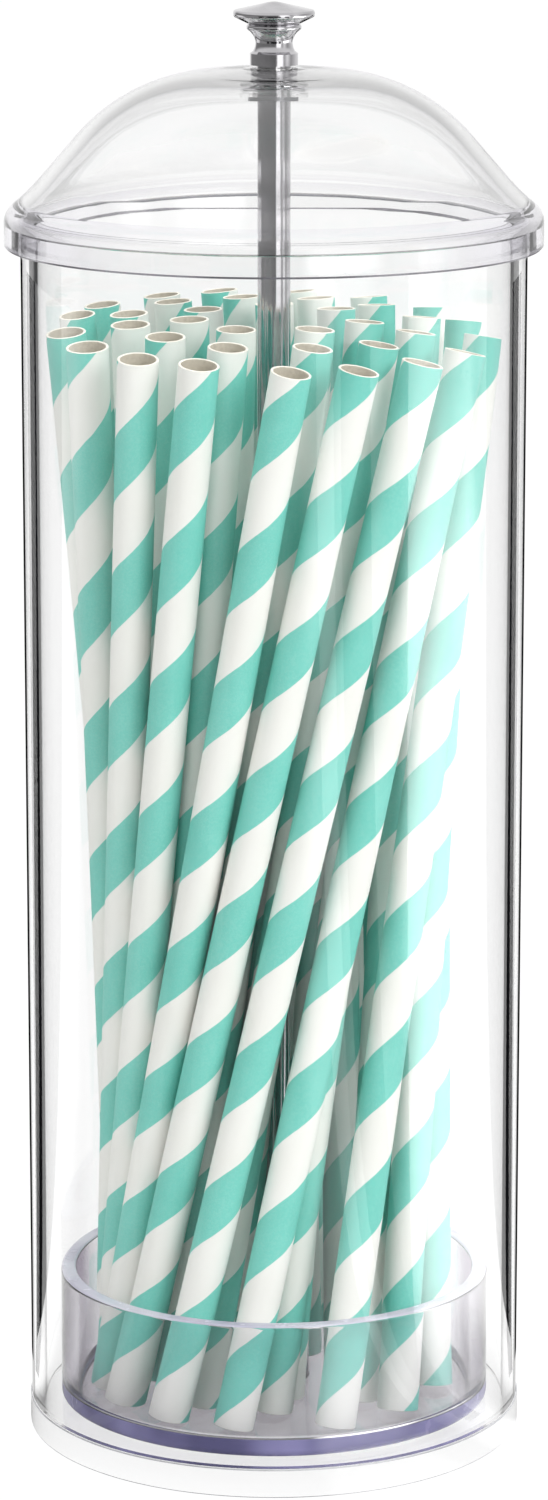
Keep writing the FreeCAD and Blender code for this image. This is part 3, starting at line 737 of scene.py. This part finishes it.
def floor(half_side, tube_radius):
    """A pale floor that keeps a soft shadow and reads as white."""
    material, tree, output = new_material("floor")
    path = add(tree, "ShaderNodeLightPath")
    place = add(tree, "ShaderNodeSeparateXYZ", {0: add(tree, "ShaderNodeTexCoord").outputs["Object"]})
    across = calc(tree, "ABSOLUTE", place.outputs[0])
    away = calc(tree, "ABSOLUTE", place.outputs[1])
    flat = add(tree, "ShaderNodeCombineXYZ", {0: place.outputs[0], 1: place.outputs[1]})
    distance = add(tree, "ShaderNodeVectorMath", {0: flat.outputs[0]}, operation="LENGTH").outputs["Value"]
    angle = from_front(tree, place.outputs[0], place.outputs[1])
    ring, in_card = floor_card(tree, across, away, distance, tube_radius)
    glanced = off_the_outside(tree, path, calc(tree, "SUBTRACT", across, tube_radius), away)
    dark = calc(tree, "MAXIMUM", through_one_wall(tree, path, in_card), all_of(tree, glanced, ring))
    room = blend_colours(
        tree, calc(tree, "LESS_THAN", distance, CARD_REACH),
        studio_in_reflections(tree, angle, FAR_ROOM), studio_in_reflections(tree, angle, NEAR_ROOM))
    room = calc(tree, "ADD", room, bright_panel(tree, path, angle, distance))
    reflected = at_least(tree, path.outputs["Glossy Depth"], 1)
    shown = blend_colours(tree, reflected, WHITE, room)
    shown = blend_colours(tree, dark, shown, CARD_COLOUR)
    matt = add(tree, "ShaderNodeBsdfDiffuse", {"Color": FLOOR_COLOUR})
    glow = add(tree, "ShaderNodeEmission", {"Color": shown, "Strength": FLOOR_WHITE})
    white_share = spread(tree, reflected, (0.0, 1.0), (FLOOR_WHITE_SHARE, 1.0))
    share = all_of(tree, shows_white(tree, path), white_share)
    mix = add(tree, "ShaderNodeMixShader", {0: share, 1: matt.outputs[0], 2: glow.outputs[0]})
    tree.links.new(mix.outputs[0], output.inputs["Surface"])
    mesh = bpy.data.meshes.new("studio_floor")
    corners = [(x * half_side, y * half_side, 0.0) for x, y in ((-1, -1), (1, -1), (1, 1), (-1, 1))]
    mesh.from_pydata(corners, [], [(0, 1, 2, 3)])
    mesh.materials.append(material)
    plane = bpy.data.objects.new("studio_floor", mesh)
    plane.location.z = -FLOOR_DROP
    bpy.context.scene.collection.objects.link(plane)


def lamp(name, place, aim, size, power):
    """A rectangular softbox that faces a point, and that gloss and clear plastic don't show."""
    data = bpy.data.lights.new(name, "AREA")
    data.shape = "RECTANGLE"
    data.size, data.size_y = size
    data.energy = power
    softbox = bpy.data.objects.new(name, data)
    softbox.location = place
    softbox.visible_glossy = False
    softbox.visible_transmission = False
    softbox.rotation_euler = (Vector(aim) - Vector(place)).to_track_quat("-Z", "Y").to_euler()
    bpy.context.scene.collection.objects.link(softbox)


def camera():
    """The camera that matches the photograph."""
    data = bpy.data.cameras.new("camera")
    data.sensor_width = SENSOR
    data.lens = FOCAL_PIXELS * SENSOR / IMAGE_LONG_SIDE
    data.clip_start = 0.01
    seen = bpy.data.objects.new("camera", data)
    seen.location = CAMERA_PLACE
    seen.rotation_euler = (math.pi / 2 - CAMERA_DOWN, 0, 0)
    bpy.context.scene.collection.objects.link(seen)
    bpy.context.scene.camera = seen


# The scene

LONG_WAVES = (300.0, (1, 1, 0.03), 0.02)
WAVES = (90.0, (1, 1, 1), 0.05)
# Painted shade at the silhouettes of the clear pieces, (from, to, colour) over Facing; the lid's, rim's
# and cup's carry their tint as well.
GREY_PAINTED_SHADE = (0.9, 0.98, (0.6, 0.6, 0.62, 1))
BLACK_PAINTED_SHADE = (0.85, 0.87, (0, 0, 0, 1))
LID_SHADE_AND_TINT = (0.85, 0.99, (0.58, 0.55, 0.66, 1))
RIM_SHADE_AND_TINT = (0.05, 0.45, (0.85, 0.835, 0.885, 1))
CUP_SHADE_AND_TINT = (0.40, 0.80, (0.16, 0.13, 0.18, 1))
CUP_DEPTH = ((0.40, 0.385, 0.56, 1), 17.0)
acrylic = clear_plastic("clear_acrylic", WHITE, LONG_WAVES, 0.03, GREY_PAINTED_SHADE)
resting_acrylic = clear_plastic("resting_acrylic", WHITE, LONG_WAVES, 0.03, GREY_PAINTED_SHADE, resting=True)
tube_acrylic = clear_plastic("clear_tube", WHITE, LONG_WAVES, 0.03, BLACK_PAINTED_SHADE)
lid_plastic = clear_plastic("clear_lid", WHITE, WAVES, 0.04, LID_SHADE_AND_TINT)
rim_plastic = clear_plastic("clear_lid_rim", WHITE, WAVES, 0.04, RIM_SHADE_AND_TINT)
cup_plastic = clear_plastic("tinted_cup", (0.985, 0.98, 0.99, 1), WAVES, 0.05, CUP_SHADE_AND_TINT, depth=CUP_DEPTH)
washer_plastic = clear_plastic("clear_washer", (0.95, 0.95, 0.95, 1), WAVES, 0.1, GREY_PAINTED_SHADE)
# Opaque painted shade on the edges of the clear pieces, for the dark lines of light guided inside them;
# the cup's foot ring and top edge carry its lavender tint as well.
base_edge_shade = opaque_edge_shade("base_edge_shade", (0.36, 0.36, 0.38, 1), (0.55, 0.55, 0.57, 1))
tube_edge_shade = opaque_edge_shade("tube_edge_shade", (0.10, 0.10, 0.11, 1), (0.22, 0.22, 0.24, 1))
lid_edge_shade = opaque_edge_shade("lid_edge_shade", (0.13, 0.125, 0.14, 1), (0.26, 0.25, 0.28, 1))
cup_edge = opaque_edge_shade("cup_foot_shade_and_tint", (0.085, 0.08, 0.19, 1), (0.25, 0.235, 0.45, 1))
cup_rim = opaque_edge_shade("cup_rim_shade_and_tint", (0.46, 0.44, 0.55, 1), (0.60, 0.60, 0.68, 1))
steel = metal("polished_steel", (0.62, 0.61, 0.63, 1), (0.08, 0.18), 160.0, (0.2, 0.2, 30))
rod_steel = metal("drawn_steel", (0.6, 0.59, 0.61, 1), (0.07, 0.16), 2400.0, (1, 1, 0.02))
clip_steel = metal("spring_steel", (0.35, 0.35, 0.37, 1), (0.25, 0.4), 900.0, (1, 1, 1))

CAD_LOOKS = {
    "knob": steel,
    "lift_rod": rod_steel,
    "lid_washer": washer_plastic,
    "rod_clip": clip_steel,
    "cup_washer": clip_steel,
    "cup_screw": clip_steel,
}
for node, look in CAD_LOOKS.items():
    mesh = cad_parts[node].data
    mesh.materials.clear()
    mesh.materials.append(look)

jar_base(acrylic, resting_acrylic, base_edge_shade)
jar_tube(tube_acrylic, tube_edge_shade)
lid_dome(lid_plastic, rim_plastic, lid_edge_shade)
straw_cup(cup_plastic, cup_edge, cup_rim)

stripes = striped_paper()
bore = plain_paper("straw_bore", (0.62, 0.58, 0.49, 1), (0.74, 0.70, 0.60, 1))
cut_end = plain_paper("straw_cut_end", (0.80, 0.77, 0.68, 1), (0.90, 0.88, 0.80, 1))
luck = random.Random(STRIPE_SEED)
for node in sorted(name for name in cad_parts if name.startswith("straw_") and name != "straw_cup"):
    paper_straw(node, STRAW_TURNS.get(int(node.split("_")[1]), luck.random()), stripes, bore, cut_end)

studio_world(STUDIO_LEVEL)
floor(FLOOR_HALF_SIDE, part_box("jar_tube")[1].x)
lamp("key", (1.1, -1.1, 1.0), (0, 0, 0.12), (0.9, 0.9), 16.5)
lamp("fill", (-1.2, -0.9, 0.7), (0, 0, 0.12), (0.7, 1.0), 2.0)
lamp("top", (0.0, 0.1, 1.3), (0, 0, 0.2), (0.8, 0.8), 8.0)
camera()

scene = bpy.context.scene
scene.view_settings.view_transform = "Standard"
